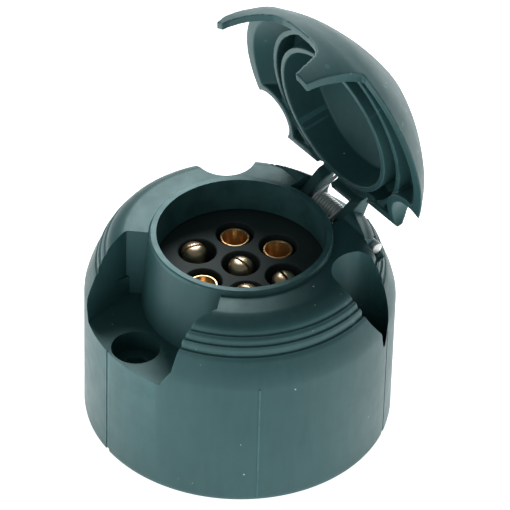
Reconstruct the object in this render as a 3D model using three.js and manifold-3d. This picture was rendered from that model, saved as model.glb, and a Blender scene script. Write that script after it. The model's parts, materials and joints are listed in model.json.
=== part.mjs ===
// Seven-pole trailer socket with a spring-loaded hinged cover, shown with the cover open.
// Millimetres, +Z up. The origin is the centre of the mounting face, the hinge is towards +Y
// and its axis is parallel to X. The plug goes in along -Z.
import * as THREE from 'three';
import { mergeVertices } from 'three/addons/utils/BufferGeometryUtils.js';
import { ConvexGeometry } from 'three/addons/geometries/ConvexGeometry.js';
import Module from 'manifold-3d';

const wasm = await Module();
wasm.setup();

// ---- driving dimensions -------------------------------------------------------------------

const GAP = 0.3; // clearance between neighbouring pieces

// housing
const BODY_R = 33.2; // outside radius of the drum
const RIM_Z = 46; // top of the collar, and the overall height when open
const RIM_STEP = 1.1; // collar over the deck
const DECK_Z = RIM_Z - RIM_STEP; // height of the flat deck round the collar
const SHOULDER_HEIGHT = 14.5; // from the drum's straight side up to the deck
const DRUM_TOP = DECK_Z - SHOULDER_HEIGHT;
const BORE_R = 18; // plug bore
const COLLAR_WALL = 1.4;
const COLLAR_R = BORE_R + COLLAR_WALL; // outside radius of the collar
const DECK_WIDTH = 6; // from the collar to the edge of the deck
const DECK_R = COLLAR_R + DECK_WIDTH;
const WALL = 2.6; // moulded wall
const BARREL_WALL = 3;
const BARREL_R = BORE_R + BARREL_WALL; // outside radius of the barrel below the deck
const BARREL_END = 20; // lower end of the barrel
const BEAD_STEP = 0.42; // how far each decorative line stands out

// mounting screws
const SCREW_CIRCLE = 27.5; // radius of the screw circle
const SCREW_ANGLES = [270, 30, 150]; // front one first
const SCREW_HOLE_R = 2.75;
const SCREW_SEAT_R = 4.9;
const FRONT_SEAT_R = 5.2; // the front seat is a little wider
const SCREW_SEAT_Z = 23;
const SCREW_TUBE_R = 4.9;

// front recess
const RECESS_HALF = 14.7; // half width between the side walls
const RECESS_FLOOR = 28;
const FILLET_BACK = 4.5; // height of the side fillets over the floor, at the barrel
const FILLET_FRONT = 6.6; // and at the drum's outside
const FILLET_FOOT = 2.8; // how far they come in along the floor

// side scoops
const SCOOP_MOUTH_R = 5.7; // where the scoop starts to break through the drum
const SCOOP_MOUTH_Z = 26;
const SCOOP_TOP_R = 6.6;

// contact insert
const PLUG_DEPTH = 8.3; // from the rim down to the insert's face
const CARRIER_FACE = RIM_Z - PLUG_DEPTH;
const CARRIER_END = 23;
const STEP_WIDTH = 1; // the insert is this much wider than the bore, and sits under a step
const CONTACT_CIRCLE = 10;
const WELL_GAP = 0.825; // free room round a sleeve in its well
const SLEEVE_DEPTH = 0.9; // sleeves end this far below the insert's face
const PIN_R = 2.65;
const SLEEVE_R = 3.25;
const CONTACT_HOLE_R = SLEEVE_R + WELL_GAP;
const SLEEVE_BORE_R = 2.6;
const PIN_SLOT = 0.6;
const SHANK_R = 3.7; // contact collar
const RETAINER_THICK = 2.5;
const TERMINAL_R = 3.2;
const TERMINAL_END = 7; // lower end of the rear terminals
const WIRE_HOLE_R = 1.7;
const CLAMP_Z = TERMINAL_END + 2.6; // height of the clamping screws

// fasteners
const RETAINER_SCREW_ANGLES = [90, 210, 330];
const RETAINER_SCREW_CIRCLE = BARREL_R + 2.6;
const RETAINER_SCREW_R = 1.3;
const RETAINER_BOSS_R = 3.2;
const TERMINAL_SCREW_R = 1.2;

// hinge
const HINGE_OUT = 4.25; // hinge axis, outside the collar
const HINGE_Y = COLLAR_R + HINGE_OUT;
const HINGE_DROP = 3.5; // hinge axis, below the deck
const HINGE_Z = DECK_Z - HINGE_DROP;
const HINGE_PIN_R = 1.3;
const EAR_IN = 4.7; // inner face of each lid ear
const EAR_OUT = 7.3; // outer face of each lid ear
const EAR_R = HINGE_PIN_R + 1.6;
const EAR_GAP = 0.4; // ear to knuckle
const HOOD_HALF = 3; // the hood between the ears starts here and leaves room for the spring's leg
const KNUCKLE_R = HINGE_PIN_R + 3;
const KNUCKLE_OUT = 16.8;
const HINGE_PIN_HALF = KNUCKLE_OUT - 0.2;
const POCKET_FLOOR = HINGE_Z - EAR_R - 1.3;
const WIRE_R = 0.36;
const COIL_R = HINGE_PIN_R + WIRE_R + 0.39;
const COIL_TURNS = 9;

// lid
const LID_OPEN_DEG = 80; // opening angle at rest
const LID_WALL = 1.8;
const LID_RISE = 15.3; // top of the closed lid over the rim
const LID_TOP = RIM_Z + LID_RISE;
const SKIRT_Z = DECK_Z + 0.5; // lower edge of the skirt when the lid is closed
const LID_WIDTH_SCALE = 1.14; // the lid is this much wider than it is deep above the skirt edge
const LID_BACK = HINGE_Y - 5.25; // flat back face, measured from the bore axis
const VISOR_GAP = 0.5; // visor to the recess's side walls
const VISOR_HALF = RECESS_HALF - VISOR_GAP;
const VISOR_END = RECESS_FLOOR + 0.9; // lower end of the visor's left leg
const VISOR_SLANT = 2.6; // the right leg ends this much higher
const VISOR_LEG = 3; // width of the visor beside the finger cut-out
const ARCH_DROP = 5.6; // top of the finger cut-out, below the rim
const RIB_R = BORE_R - 2 * GAP; // sealing rib inside the bore
const RIB_WALL = 1.2;
const RIB_END = RIM_Z - 0.7;
const RING_R = COLLAR_R + 1.8; // ring outside the collar
const RING_END = RIM_Z + GAP;
const FLUTE_R = 5.9;
const FLUTE_SHIFT = 0.9; // the flutes stand this much nearer the hinge than the screws
const OUTLINE_STEPS = 10;

// ---- solids -------------------------------------------------------------------------------

function toSolid(geometry) {
  const bare = new THREE.BufferGeometry();
  bare.setAttribute('position', geometry.attributes.position.clone());
  if (geometry.index) bare.setIndex(geometry.index.clone());
  const merged = mergeVertices(bare, 1e-4);
  const source = merged.index.array;
  const place = merged.attributes.position.array;
  const kept = [];
  let volume = 0;
  for (let i = 0; i < source.length; i += 3) {
    const [a, b, c] = [source[i], source[i + 1], source[i + 2]];
    if (a === b || b === c || a === c) continue;
    kept.push(a, b, c);
    volume += signedVolume(place, a, b, c);
  }
  if (volume < 0) {
    for (let i = 0; i < kept.length; i += 3) {
      [kept[i + 1], kept[i + 2]] = [kept[i + 2], kept[i + 1]];
    }
  }
  const mesh = new wasm.Mesh({
    numProp: 3,
    vertProperties: new Float32Array(place),
    triVerts: new Uint32Array(kept),
  });
  return new wasm.Manifold(mesh);
}

function signedVolume(p, a, b, c) {
  const va = new THREE.Vector3().fromArray(p, 3 * a);
  const vb = new THREE.Vector3().fromArray(p, 3 * b);
  const vc = new THREE.Vector3().fromArray(p, 3 * c);
  return va.dot(vb.cross(vc)) / 6;
}

function toGeometry(solid) {
  const mesh = solid.getMesh();
  const count = mesh.vertProperties.length / mesh.numProp;
  const place = new Float32Array(count * 3);
  for (let i = 0; i < count; i += 1) {
    for (let k = 0; k < 3; k += 1) place[3 * i + k] = mesh.vertProperties[i * mesh.numProp + k];
  }
  const geometry = new THREE.BufferGeometry();
  geometry.setAttribute('position', new THREE.BufferAttribute(place, 3));
  geometry.setIndex(new THREE.BufferAttribute(new Uint32Array(mesh.triVerts), 1));
  return geometry;
}

// profile: [radius, height] pairs that close on themselves or end on the axis
function revolve(profile, segments = 72) {
  const points = profile.map(([r, z]) => new THREE.Vector2(Math.max(r, 0), z));
  points.push(points[0].clone());
  const geometry = new THREE.LatheGeometry(points, segments);
  geometry.rotateX(Math.PI / 2);
  return geometry;
}

function turned(profile, segments) {
  return toSolid(revolve(profile, segments));
}

function rod(radius, low, high, x = 0, y = 0, segments = 32) {
  const geometry = new THREE.CylinderGeometry(radius, radius, high - low, segments);
  geometry.rotateX(Math.PI / 2);
  geometry.translate(x, y, (low + high) / 2);
  return toSolid(geometry);
}

function cone(lowRadius, highRadius, low, high, x, y, segments = 32) {
  const geometry = new THREE.CylinderGeometry(highRadius, lowRadius, high - low, segments);
  geometry.rotateX(Math.PI / 2);
  geometry.translate(x, y, (low + high) / 2);
  return toSolid(geometry);
}

// cylinder along X
function crossRod(radius, x0, x1, y, z, segments = 32) {
  const geometry = new THREE.CylinderGeometry(radius, radius, x1 - x0, segments);
  geometry.rotateZ(Math.PI / 2);
  geometry.translate((x0 + x1) / 2, y, z);
  return toSolid(geometry);
}

function block(x0, x1, y0, y1, z0, z1) {
  const geometry = new THREE.BoxGeometry(x1 - x0, y1 - y0, z1 - z0);
  geometry.translate((x0 + x1) / 2, (y0 + y1) / 2, (z0 + z1) / 2);
  return toSolid(geometry);
}

// outline in XY, pulled up from z0 to z1
function slab(outline, z0, z1) {
  const shape = new THREE.Shape(outline.map(([x, y]) => new THREE.Vector2(x, y)));
  const geometry = new THREE.ExtrudeGeometry(shape, { depth: z1 - z0, bevelEnabled: false });
  geometry.translate(0, 0, z0);
  return toSolid(geometry);
}

// outline in XZ, pulled from y0 to y1
function slabAlongY(outline, y0, y1) {
  const shape = new THREE.Shape(outline.map(([x, z]) => new THREE.Vector2(x, z)));
  const geometry = new THREE.ExtrudeGeometry(shape, { depth: y1 - y0, bevelEnabled: false });
  geometry.rotateX(Math.PI / 2);
  geometry.translate(0, y1, 0);
  return toSolid(geometry);
}

// outline in YZ, pulled from x0 to x1
function slabAlongX(outline, x0, x1) {
  const shape = new THREE.Shape(outline.map(([y, z]) => new THREE.Vector2(y, z)));
  const geometry = new THREE.ExtrudeGeometry(shape, { depth: x1 - x0, bevelEnabled: false });
  geometry.applyMatrix4(new THREE.Matrix4().set(0, 0, 1, x0, 1, 0, 0, 0, 0, 1, 0, 0, 0, 0, 0, 1));
  return toSolid(geometry);
}

function hull(points) {
  return toSolid(new ConvexGeometry(points.map(([x, y, z]) => new THREE.Vector3(x, y, z))));
}

function join(...solids) {
  return solids.reduce((sum, next) => sum.add(next));
}

function cut(solid, ...tools) {
  return tools.reduce((rest, tool) => rest.subtract(tool), solid);
}

function polar(radius, degrees) {
  const angle = THREE.MathUtils.degToRad(degrees);
  return [radius * Math.cos(angle), radius * Math.sin(angle)];
}

// ---- housing ------------------------------------------------------------------------------

// the lines of the shoulder, from the drum up: radius and height of each raised edge
const BEADS = [
  [BODY_R - 2.25, DECK_Z - 7.2],
  [BODY_R - 3.0, DECK_Z - 5],
  [BODY_R - 4.0, DECK_Z - 3.1],
];

function shoulder() {
  const points = [
    [BODY_R - 0.2, 0],
    [BODY_R, 1.2],
    [BODY_R, DRUM_TOP],
    [BODY_R - 0.35, DRUM_TOP + 1.9],
    [BODY_R - 1.1, DRUM_TOP + 4.5],
  ];
  for (const [r, z] of BEADS) {
    points.push([r, z - 0.15]);
    points.push([r - BEAD_STEP, z + 0.1]);
  }
  points.push([BODY_R - 5.1, DECK_Z - 2], [BODY_R - 5.9, DECK_Z - 1.2]);
  points.push([DECK_R + 0.9, DECK_Z - 0.4], [DECK_R - 0.3, DECK_Z]);
  return points;
}

function housing() {
  const outside = turned([
    [0, 0],
    ...shoulder(),
    [COLLAR_R + 0.2, DECK_Z],
    [COLLAR_R, RIM_Z - 0.3],
    [COLLAR_R - 0.3, RIM_Z],
    [0, RIM_Z],
  ], 48);
  const inner = BODY_R - WALL;
  const hollow = turned([
    [0, -1],
    [inner, -1],
    [inner, DRUM_TOP - 1],
    [inner - 1.9, DECK_Z - 9.5],
    [inner - 4, DECK_Z - 5.3],
    [inner - 6.4, DECK_Z - WALL],
    [BARREL_R + 0.4, DECK_Z - WALL],
    [BARREL_R, BARREL_END],
    [BORE_R + STEP_WIDTH, BARREL_END],
    [BORE_R + STEP_WIDTH, CARRIER_FACE + GAP],
    [BORE_R, CARRIER_FACE + GAP],
    [BORE_R, RIM_Z + 1],
    [0, RIM_Z + 1],
  ], 48);
  // inside the barrel's wall, so that the linings end in the wall and not on its surface
  const insideBarrel = turned([
    [0, -1],
    [BARREL_R - 1, -1],
    [BARREL_R - 1, CARRIER_FACE + 1],
    [COLLAR_R - 0.7, CARRIER_FACE + 1],
    [COLLAR_R - 0.7, RIM_Z + 1],
    [0, RIM_Z + 1],
  ], 48);

  const linings = [frontLining(), hingeLining()];
  for (const angle of SCREW_ANGLES) {
    const [x, y] = polar(SCREW_CIRCLE, angle);
    linings.push(rod(SCREW_TUBE_R, -2, SCREW_SEAT_Z, x, y, 20));
    linings.push(rod(SCREW_SEAT_R + 2, SCREW_SEAT_Z - WALL, RECESS_FLOOR, x, y, 20));
    if (angle !== SCREW_ANGLES[0]) {
      linings.push(cone(SCREW_SEAT_R + 2, SCOOP_TOP_R + 2, SCREW_SEAT_Z, DECK_Z - 1, x, y, 20));
    }
  }
  for (const angle of RETAINER_SCREW_ANGLES) {
    const [x, y] = polar(RETAINER_SCREW_CIRCLE, angle);
    linings.push(rod(RETAINER_BOSS_R, BARREL_END, DECK_Z - 2, x, y, 20));
  }
  const kept = cut(join(...linings, ...knuckles()), insideBarrel);
  const raised = join(...knuckles()).intersect(hingeEnvelope());
  const body = cut(outside.add(raised), cut(hollow, kept));

  const tools = [frontRecess(), hingePocket(), ...pinNotches()];
  for (const angle of SCREW_ANGLES) {
    const [x, y] = polar(SCREW_CIRCLE, angle);
    tools.push(rod(SCREW_HOLE_R, -1, SCREW_SEAT_Z + 1, x, y, 20));
    if (angle === SCREW_ANGLES[0]) {
      tools.push(rod(FRONT_SEAT_R, SCREW_SEAT_Z, RECESS_FLOOR + 1, x, y));
    } else {
      tools.push(scoop(x, y));
    }
  }
  for (const angle of RETAINER_SCREW_ANGLES) {
    const [x, y] = polar(RETAINER_SCREW_CIRCLE, angle);
    tools.push(rod(RETAINER_SCREW_R + GAP, BARREL_END - 1, BARREL_END + 9, x, y, 16));
  }
  tools.push(crossRod(HINGE_PIN_R + GAP, -BODY_R, BODY_R, HINGE_Y, HINGE_Z, 24));
  for (const angle of [265.5, 33, 147]) tools.push(footNotch(angle));
  return cut(body, ...tools);
}

// tapered flute over a side screw, wide enough above its mouth to open the side of the drum
function scoop(x, y) {
  const lower = cone(SCREW_SEAT_R, SCOOP_MOUTH_R, SCREW_SEAT_Z, SCOOP_MOUTH_Z, x, y, 28);
  return lower.add(cone(SCOOP_MOUTH_R, SCOOP_TOP_R, SCOOP_MOUTH_Z, RIM_Z + 1, x, y, 28));
}

// plan of the front recess, right half, from the collar outwards
function recessHalf() {
  return [
    [11.6, -13.8],
    [15.9, -18.4],
    [RECESS_HALF + 0.35, -22.8],
    [RECESS_HALF, -27.6],
    [RECESS_HALF + 0.2, -30.2],
    [RECESS_HALF + 0.6, -BODY_R - 4],
  ];
}

function mirrored(half) {
  return [...half, ...half.map(([x, y]) => [-x, y]).reverse()];
}

function barrelOutside() {
  return turned([
    [0, SCREW_SEAT_Z - 4],
    [BARREL_R, SCREW_SEAT_Z - 4],
    [BARREL_R, RECESS_FLOOR],
    [COLLAR_R + 0.2, DECK_Z - 0.4],
    [COLLAR_R, RIM_Z + 3],
    [0, RIM_Z + 3],
  ], 48);
}

// sloped fillets at the foot of the recess's side walls
function recessFillets(rise) {
  const inWall = RECESS_HALF + 1.8;
  const low = RECESS_FLOOR - 0.2;
  const front = -BODY_R - 0.2;
  const back = -17.9;
  return [-1, 1].map((side) => hull([
    [side * (RECESS_HALF + 0.7 - rise), back, RECESS_FLOOR + FILLET_BACK + rise],
    [side * (RECESS_HALF + 0.15 - rise), front, RECESS_FLOOR + FILLET_FRONT + rise],
    [side * inWall, back, RECESS_FLOOR + FILLET_BACK + rise],
    [side * inWall, front, RECESS_FLOOR + FILLET_FRONT + rise],
    [side * (RECESS_HALF + 0.7 - rise), back, low],
    [side * (RECESS_HALF - FILLET_FOOT - rise), front, low],
    [side * inWall, back, low],
    [side * inWall, front, low],
  ]));
}

function frontRecess() {
  const opening = slab(mirrored(recessHalf()), RECESS_FLOOR, RIM_Z + 2);
  return cut(opening, barrelOutside(), ...recessFillets(0));
}

function frontLining() {
  const half = recessHalf().map(([x, y]) => [x + 2.4, y]);
  half[0] = [10, -12];
  half[1] = [18.6, -17.2];
  return slab(mirrored(half), RECESS_FLOOR - 2.4, DECK_Z - 1.3);
}

function knuckles() {
  return [-1, 1].map((side) => {
    const near = side * (EAR_OUT + EAR_GAP);
    const far = side * KNUCKLE_OUT;
    return crossRod(KNUCKLE_R, Math.min(near, far), Math.max(near, far), HINGE_Y, HINGE_Z, 28);
  });
}

// the knuckles stand up from the deck and end where the shoulder does
function hingeEnvelope() {
  const round = turned([
    [0, POCKET_FLOOR - 4.2],
    [BODY_R - 4.2, POCKET_FLOOR - 4.2],
    [BODY_R - 4.2, HINGE_Z - 0.2],
    [BODY_R - 6.1, DECK_Z - 1.1],
    [DECK_R - 0.3, RIM_Z - 0.3],
    [0, RIM_Z - 0.3],
  ], 48);
  return round.intersect(block(-BODY_R, BODY_R, COLLAR_R, BODY_R, POCKET_FLOOR - 4.2, RIM_Z));
}

function hingeLining() {
  const wide = KNUCKLE_OUT + 1.5;
  return block(-wide, wide, BARREL_R - 1, HINGE_Y + KNUCKLE_R - 0.6, POCKET_FLOOR - 2.4, HINGE_Z);
}

function hingePocket() {
  const half = EAR_OUT + EAR_GAP;
  const pocket = block(-half, half, BORE_R, BODY_R + 4, POCKET_FLOOR, RIM_Z + 3);
  return cut(pocket, barrelOutside());
}

// notches beside the knuckles, where the ends of the hinge pin show
function pinNotches() {
  const inner = KNUCKLE_OUT - 1.3;
  const outline = [
    [inner, RIM_Z + 1],
    [inner, HINGE_Z + 0.4],
    [inner + 2.1, HINGE_Z - 2.1],
    [inner + 5, HINGE_Z + 0.1],
    [inner + 5.5, RIM_Z + 1],
  ];
  return [-1, 1].map((side) => {
    return slabAlongY(outline.map(([x, z]) => [side * x, z]), COLLAR_R + 1.4, BODY_R + 1);
  });
}

// shallow notch in the lower edge of the drum
function footNotch(angle) {
  const geometry = new THREE.BoxGeometry(1.6, 3.6, 2.4);
  geometry.translate(BODY_R, 0, 0);
  geometry.rotateZ(THREE.MathUtils.degToRad(angle));
  return toSolid(geometry);
}

// ---- contact insert -----------------------------------------------------------------------

const RETAINER_TOP = CARRIER_END - GAP;
const RETAINER_END = BARREL_END - GAP - RETAINER_THICK;
const COLLAR_TOP = CARRIER_END + 3;

// contacts: angle, radius of the well's centre, turn of the slot, height of the tip over the insert's
// face, and how far the pin stands outwards in its well
const CONTACTS = [
  { name: 'pin_1', angle: 30, ring: CONTACT_CIRCLE, slot: -8, tip: 0.2, out: 0 },
  { name: 'pin_2', angle: 210, ring: CONTACT_CIRCLE, slot: 75, tip: 1.2, out: 0.8 },
  { name: 'pin_3', angle: 330, ring: CONTACT_CIRCLE, slot: 35, tip: 1.5, out: 0 },
  { name: 'pin_4', angle: 0, ring: 0, slot: 10, tip: 0.8, out: 0 },
  { name: 'sleeve_1', angle: 90, ring: CONTACT_CIRCLE, sleeve: true, tip: -SLEEVE_DEPTH, out: 0 },
  { name: 'sleeve_2', angle: 150, ring: CONTACT_CIRCLE, sleeve: true, tip: -SLEEVE_DEPTH, out: 0 },
  { name: 'sleeve_3', angle: 270, ring: CONTACT_CIRCLE, sleeve: true, tip: -SLEEVE_DEPTH, out: 0 },
];

function contactPlace(contact) {
  return polar(contact.ring + contact.out, contact.angle);
}

function contactCarrier() {
  const radius = BORE_R + STEP_WIDTH - GAP;
  let body = turned([
    [0, CARRIER_END],
    [radius, CARRIER_END],
    [radius, CARRIER_FACE],
    [0, CARRIER_FACE],
  ], 48);
  for (const contact of CONTACTS) {
    const [x, y] = contactPlace(contact);
    const neck = (contact.sleeve ? SLEEVE_R : PIN_R) + GAP;
    const [wellX, wellY] = polar(contact.ring, contact.angle);
    body = body.subtract(rod(CONTACT_HOLE_R, COLLAR_TOP + 3, CARRIER_FACE + 1, wellX, wellY, 20));
    body = body.subtract(rod(neck, COLLAR_TOP - 1, COLLAR_TOP + 4, x, y, 16));
    body = body.subtract(rod(SHANK_R + GAP, CARRIER_END - 1, COLLAR_TOP, x, y, 16));
  }
  return body;
}

function contactRetainer() {
  const radius = BORE_R + STEP_WIDTH - GAP;
  const ears = RETAINER_SCREW_ANGLES.map((angle) => {
    const [x, y] = polar(RETAINER_SCREW_CIRCLE, angle);
    return rod(RETAINER_BOSS_R, RETAINER_END, BARREL_END - GAP, x, y, 24);
  });
  const plate = turned([
    [0, RETAINER_END],
    [BARREL_R + 0.8, RETAINER_END],
    [BARREL_R + 0.8, BARREL_END - GAP],
    [radius, BARREL_END - GAP],
    [radius, RETAINER_TOP],
    [0, RETAINER_TOP],
  ], 40);
  let body = join(plate, ...ears);
  for (const angle of RETAINER_SCREW_ANGLES) {
    const [x, y] = polar(RETAINER_SCREW_CIRCLE, angle);
    body = body.subtract(rod(RETAINER_SCREW_R + GAP, RETAINER_END - 1, RETAINER_TOP + 1, x, y, 16));
  }
  for (const contact of CONTACTS) {
    const [x, y] = contactPlace(contact);
    body = body.subtract(rod(TERMINAL_R - 0.4 + GAP, RETAINER_END - 1, RETAINER_TOP + 1, x, y, 16));
  }
  return body;
}

// one turned contact: tip, collar trapped in the insert, neck through the plate, rear terminal
function contactSolid(contact) {
  const tip = CARRIER_FACE + contact.tip;
  const outer = contact.sleeve ? SLEEVE_R : PIN_R;
  const neck = TERMINAL_R - 0.4;
  const sleeveHead = [
    [outer, tip - 0.3],
    [outer - 0.3, tip],
    [SLEEVE_BORE_R, tip],
    [SLEEVE_BORE_R, tip - 12],
    [0, tip - 12],
  ];
  const pinHead = [
    [outer, tip - 1.7],
    [outer * 0.92, tip - 0.9],
    [outer * 0.66, tip - 0.3],
    [outer * 0.3, tip],
    [0, tip],
  ];
  const profile = [
    [0, TERMINAL_END + 5],
    [WIRE_HOLE_R, TERMINAL_END + 5],
    [WIRE_HOLE_R, TERMINAL_END],
    [TERMINAL_R, TERMINAL_END],
    [TERMINAL_R, RETAINER_END - GAP],
    [neck, RETAINER_END - GAP],
    [neck, RETAINER_TOP + GAP],
    [SHANK_R, RETAINER_TOP + GAP],
    [SHANK_R, COLLAR_TOP - GAP],
    [outer, COLLAR_TOP - GAP],
    ...(contact.sleeve ? sleeveHead : pinHead),
  ];
  let body = turned(profile, 14);
  if (!contact.sleeve) body = body.subtract(tipSlot(tip, contact.slot));
  return body.subtract(clampHole(terminalTurn(contact)));
}

function tipSlot(tip, degrees) {
  const geometry = new THREE.BoxGeometry(4 * PIN_R, PIN_SLOT, 6);
  geometry.translate(0, 0, tip - 2);
  geometry.rotateZ(THREE.MathUtils.degToRad(degrees));
  return toSolid(geometry);
}

function clampHole(degrees) {
  const radius = TERMINAL_SCREW_R + GAP;
  const geometry = new THREE.CylinderGeometry(radius, radius, TERMINAL_R + 1, 12);
  geometry.rotateZ(Math.PI / 2);
  geometry.translate((TERMINAL_R + 1) / 2, 0, CLAMP_Z);
  geometry.rotateZ(THREE.MathUtils.degToRad(degrees));
  return toSolid(geometry);
}

// each terminal screw is reached from outside, the middle one between two others
function terminalTurn(contact) {
  return contact.ring ? contact.angle : 0;
}

function terminalScrew() {
  const head = crossRod(TERMINAL_SCREW_R + 0.8, TERMINAL_R + 0.5, TERMINAL_R + 1.9, 0, 0, 16);
  const shank = crossRod(TERMINAL_SCREW_R, WIRE_HOLE_R + 0.1, TERMINAL_R + 1, 0, 0, 16);
  const slot = block(TERMINAL_R + 1.4, TERMINAL_R + 3, -3, 3, -0.25, 0.25);
  return join(head, shank).subtract(slot);
}

function retainerScrew() {
  const low = RETAINER_END - GAP;
  const head = rod(RETAINER_SCREW_R + 1.2, low - 1.6, low, 0, 0, 20);
  const shank = rod(RETAINER_SCREW_R, low - 0.5, BARREL_END + 7.5, 0, 0, 14);
  const along = block(-1.6, 1.6, -0.3, 0.3, low - 2, low - 0.8);
  const across = block(-0.3, 0.3, -1.6, 1.6, low - 2, low - 0.8);
  return cut(join(head, shank), along, across);
}

// ---- hinge --------------------------------------------------------------------------------

function hingePin() {
  const geometry = new THREE.CylinderGeometry(HINGE_PIN_R, HINGE_PIN_R, 2 * HINGE_PIN_HALF, 24);
  geometry.rotateZ(Math.PI / 2);
  return toSolid(geometry);
}

class SpringPath extends THREE.Curve {
  getPoint(t, target = new THREE.Vector3()) {
    const half = EAR_IN - 2 * WIRE_R - GAP;
    const lidLeg = 9.8;
    const bodyLeg = 2.6;
    const coil = 2 * Math.PI * COIL_R * COIL_TURNS;
    const s = t * (lidLeg + coil + bodyLeg);
    const start = LID_LEG_ANGLE;
    if (s < lidLeg) {
      const out = lidLeg - s;
      return target.set(
        -half,
        COIL_R * Math.cos(start) + out * Math.sin(start),
        COIL_R * Math.sin(start) - out * Math.cos(start),
      );
    }
    const end = start + 2 * Math.PI * COIL_TURNS;
    if (s > lidLeg + coil) {
      const out = s - lidLeg - coil;
      return target.set(
        half,
        COIL_R * Math.cos(end) - out * Math.sin(end),
        COIL_R * Math.sin(end) + out * Math.cos(end),
      );
    }
    const share = (s - lidLeg) / coil;
    const angle = start + 2 * Math.PI * COIL_TURNS * share;
    return target.set(-half + 2 * half * share, COIL_R * Math.cos(angle), COIL_R * Math.sin(angle));
  }
}

// where the lid's leg leaves the coil, counted from +Y towards +Z
const LID_LEG_ANGLE = THREE.MathUtils.degToRad(115);

function torsionSpring() {
  const section = new THREE.Shape();
  section.absarc(0, 0, WIRE_R, 0, 2 * Math.PI);
  const geometry = new THREE.ExtrudeGeometry(section, {
    steps: 10 * COIL_TURNS + 14,
    curveSegments: 3,
    extrudePath: new SpringPath(),
    bevelEnabled: false,
  });
  return toSolid(geometry);
}

// ---- lid ----------------------------------------------------------------------------------

// outside of the closed lid in the plane of symmetry: depth from the bore axis, and height
function lidOutline(inset) {
  const curve = new THREE.CatmullRomCurve3([
    [BODY_R - 0.1, VISOR_END],
    [BODY_R - 1.2, RIM_Z - 11],
    [BODY_R - 3.1, RIM_Z - 6.2],
    [BODY_R - 5.3, RIM_Z - 2.8],
    [BODY_R - 7.6, RIM_Z],
    [BODY_R - 10, LID_TOP - 12.5],
    [BODY_R - 12.9, LID_TOP - 9.9],
    [15.3, LID_TOP - 6.4],
    [9.7, LID_TOP - 3.3],
    [4.6, LID_TOP - 1],
    [0, LID_TOP],
  ].map(([r, z]) => new THREE.Vector3(r, z, 0)));
  const points = curve.getPoints(OUTLINE_STEPS);
  const tangents = points.map((_, i) => curve.getTangent(i / OUTLINE_STEPS));
  return points.map((p, i) => {
    const last = i === points.length - 1;
    const side = last ? new THREE.Vector3(0, -1, 0) : new THREE.Vector3(-tangents[i].y, tangents[i].x, 0);
    return [last ? 0 : p.x + side.x * inset, p.y + side.y * inset];
  });
}

// the lid grows wider than it is deep above its visor
function widthScale(z) {
  return 1 + (LID_WIDTH_SCALE - 1) * THREE.MathUtils.smoothstep(z, SKIRT_Z - 7.4, SKIRT_Z);
}

function domeSolid(inset, low) {
  const outline = lidOutline(inset);
  const geometry = revolve([[0, low], [outline[0][0], low], ...outline], 40);
  const place = geometry.attributes.position;
  for (let i = 0; i < place.count; i += 1) {
    place.setX(i, place.getX(i) * widthScale(place.getZ(i)));
  }
  return toSolid(geometry);
}

function tubeRing(outer, inner, low, high) {
  return turned([[inner, low], [outer, low], [outer, high], [inner, high]], 40);
}

function lid() {
  const outer = domeSolid(0, VISOR_END);
  const inner = domeSolid(LID_WALL, VISOR_END - 1);
  const flutes = [30, 150].map((angle) => {
    const [x, screwY] = polar(SCREW_CIRCLE, angle);
    const y = screwY + FLUTE_SHIFT;
    const ends = [RECESS_FLOOR, LID_TOP + 1, x, y, 28];
    return [rod(FLUTE_R, ...ends), rod(FLUTE_R + LID_WALL, ...ends)];
  });
  const wide = 2 * BODY_R;
  const back = block(-wide, wide, LID_BACK, wide, 0, LID_TOP + 1);
  const backInner = block(-wide, wide, LID_BACK - LID_WALL, wide, 0, LID_TOP + 1);

  const cavity = cut(inner, backInner, flutes[0][1], flutes[1][1]);
  const shell = cut(outer, back, flutes[0][0], flutes[1][0], cavity);

  const below = block(-wide, wide, -wide, wide, 0, SKIRT_Z);
  const visorRoom = block(-VISOR_HALF, VISOR_HALF, -wide, -BARREL_R + 2, 0, SKIRT_Z + 1);
  const archHalf = VISOR_HALF - VISOR_LEG;
  const archTop = RIM_Z - ARCH_DROP;
  const arch = slabAlongY(mirrored([
    [archHalf, RECESS_FLOOR],
    [archHalf, VISOR_END + 2],
    [archHalf - 0.6, VISOR_END + 4.1],
    [archHalf - 1.4, archTop - 5],
    [archHalf - 2.5, archTop - 2.6],
    [archHalf - 4, archTop - 1],
    [archHalf - 6, archTop - 0.2],
    [archHalf - 8.6, archTop],
  ]), -wide, -BORE_R);
  const slant = slabAlongY([
    [-VISOR_HALF - 1, RECESS_FLOOR],
    [VISOR_HALF + 1, RECESS_FLOOR],
    [VISOR_HALF + 1, VISOR_END + VISOR_SLANT],
    [-VISOR_HALF - 1, VISOR_END],
  ], -wide, -BORE_R);
  const trimmed = cut(shell, below.subtract(visorRoom), arch, slant);

  const dome = domeSolid(LID_WALL / 2, VISOR_END);
  const rib = tubeRing(RIB_R, RIB_R - RIB_WALL, RIB_END, LID_TOP).intersect(dome);
  const ring = tubeRing(RING_R, RING_R - RIB_WALL, RING_END, LID_TOP)
    .intersect(dome)
    .subtract(block(-wide, wide, LID_BACK - LID_WALL / 2, wide, 0, LID_TOP + 1));
  const pinHole = crossRod(HINGE_PIN_R + GAP, -EAR_OUT - 1, EAR_OUT + 1, HINGE_Y, HINGE_Z, 24);
  const whole = join(trimmed, rib, ring, hood(), ...ears());
  return cut(whole, pinHole, collarRoom(), ...recessFillets(GAP));
}

// what the closed lid leaves free for the collar
function collarRoom() {
  return tubeRing(COLLAR_R + 2 * GAP, RIB_R + 0.2, POCKET_FLOOR, RIM_Z + GAP + 0.05);
}

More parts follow.
